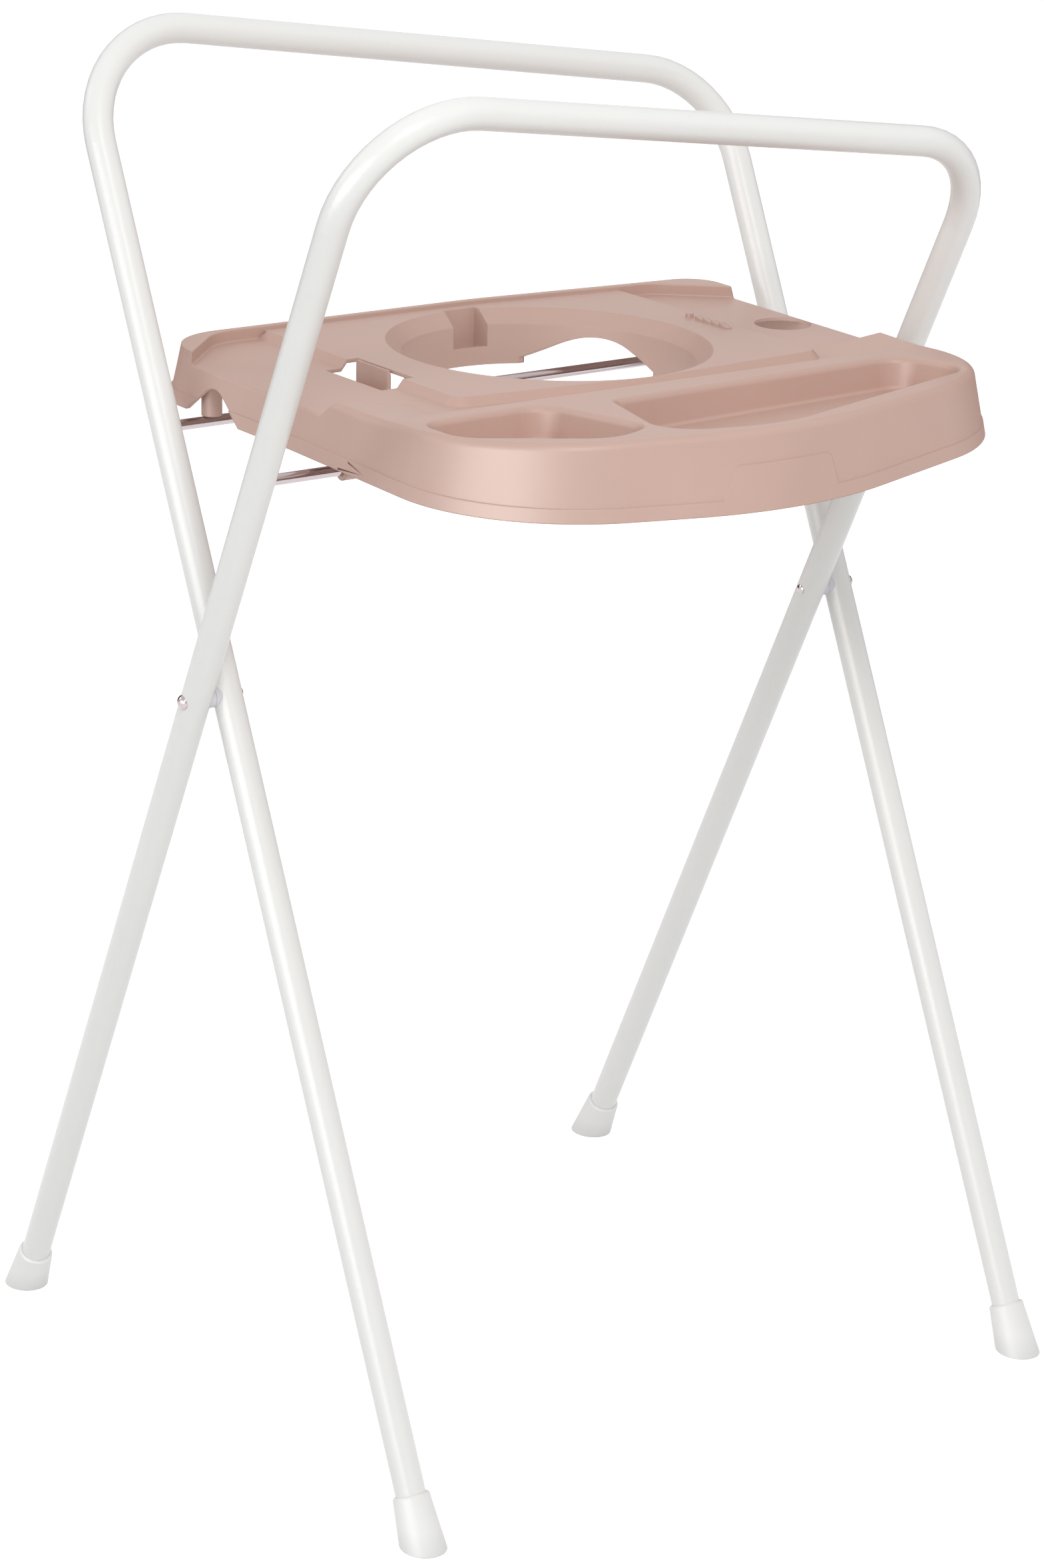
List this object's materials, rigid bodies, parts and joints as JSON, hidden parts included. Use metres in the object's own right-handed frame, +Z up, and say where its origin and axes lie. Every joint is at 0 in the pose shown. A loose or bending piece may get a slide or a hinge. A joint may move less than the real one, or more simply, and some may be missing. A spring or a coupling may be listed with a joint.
{
  "type": "baby bath stand",
  "caption": "Folding scissor stand for a baby bath: crossed tube frames with sloping handles, cross rods and a moulded plastic tray with an oval opening, pockets and a drain hole.",
  "frame": {"origin": "on the floor, at the bottom centre of the stand, under the middle of the scissor pivots", "axes": "+Z up, X along the handles and cross rods, -Y towards the front, where the tray's deep block with the pockets is"},
  "size_m": [0.619, 0.6268, 1.0031],
  "materials": {
    "powder_coat": "white powder coat, satin",
    "rod_steel": "bright chrome plate",
    "rivet_steel": "bright plated",
    "washer_plastic": "white nylon",
    "foot_plastic": "white, fine matte",
    "tray_plastic": "dusty pink, fine moulded grain"
  },
  "bodies": {
    "front_frame": {"front_frame_tube": "powder_coat", "front_cross_rod": "rod_steel", "back_left_foot_cap": "foot_plastic", "back_right_foot_cap": "foot_plastic", "left_pivot_rivet": "rivet_steel", "right_pivot_rivet": "rivet_steel", "left_front_saddle_washer": "washer_plastic", "right_front_saddle_washer": "washer_plastic"},
    "back_frame": {"back_frame_tube": "powder_coat", "back_cross_rod": "rod_steel", "front_left_foot_cap": "foot_plastic", "front_right_foot_cap": "foot_plastic", "left_back_saddle_washer": "washer_plastic", "right_back_saddle_washer": "washer_plastic"},
    "tray": {"tray": "tray_plastic"}
  },
  "joints": [
    {"name": "fold", "type": "hinge", "parent": "front_frame", "child": "back_frame", "pos_m": [0, 0, 0.556], "axis": [1, 0, 0], "range_deg": [0, 40]},
    {"name": "tray_lift", "type": "hinge", "parent": "front_frame", "child": "tray", "pos_m": [0, -0.08255, 0.73222], "axis": [1, 0, 0], "range_deg": [0, 96]}
  ],
  "couplings": [
    {"joint": "tray_lift", "follows": "fold", "ratio": 2.4}
  ]
}
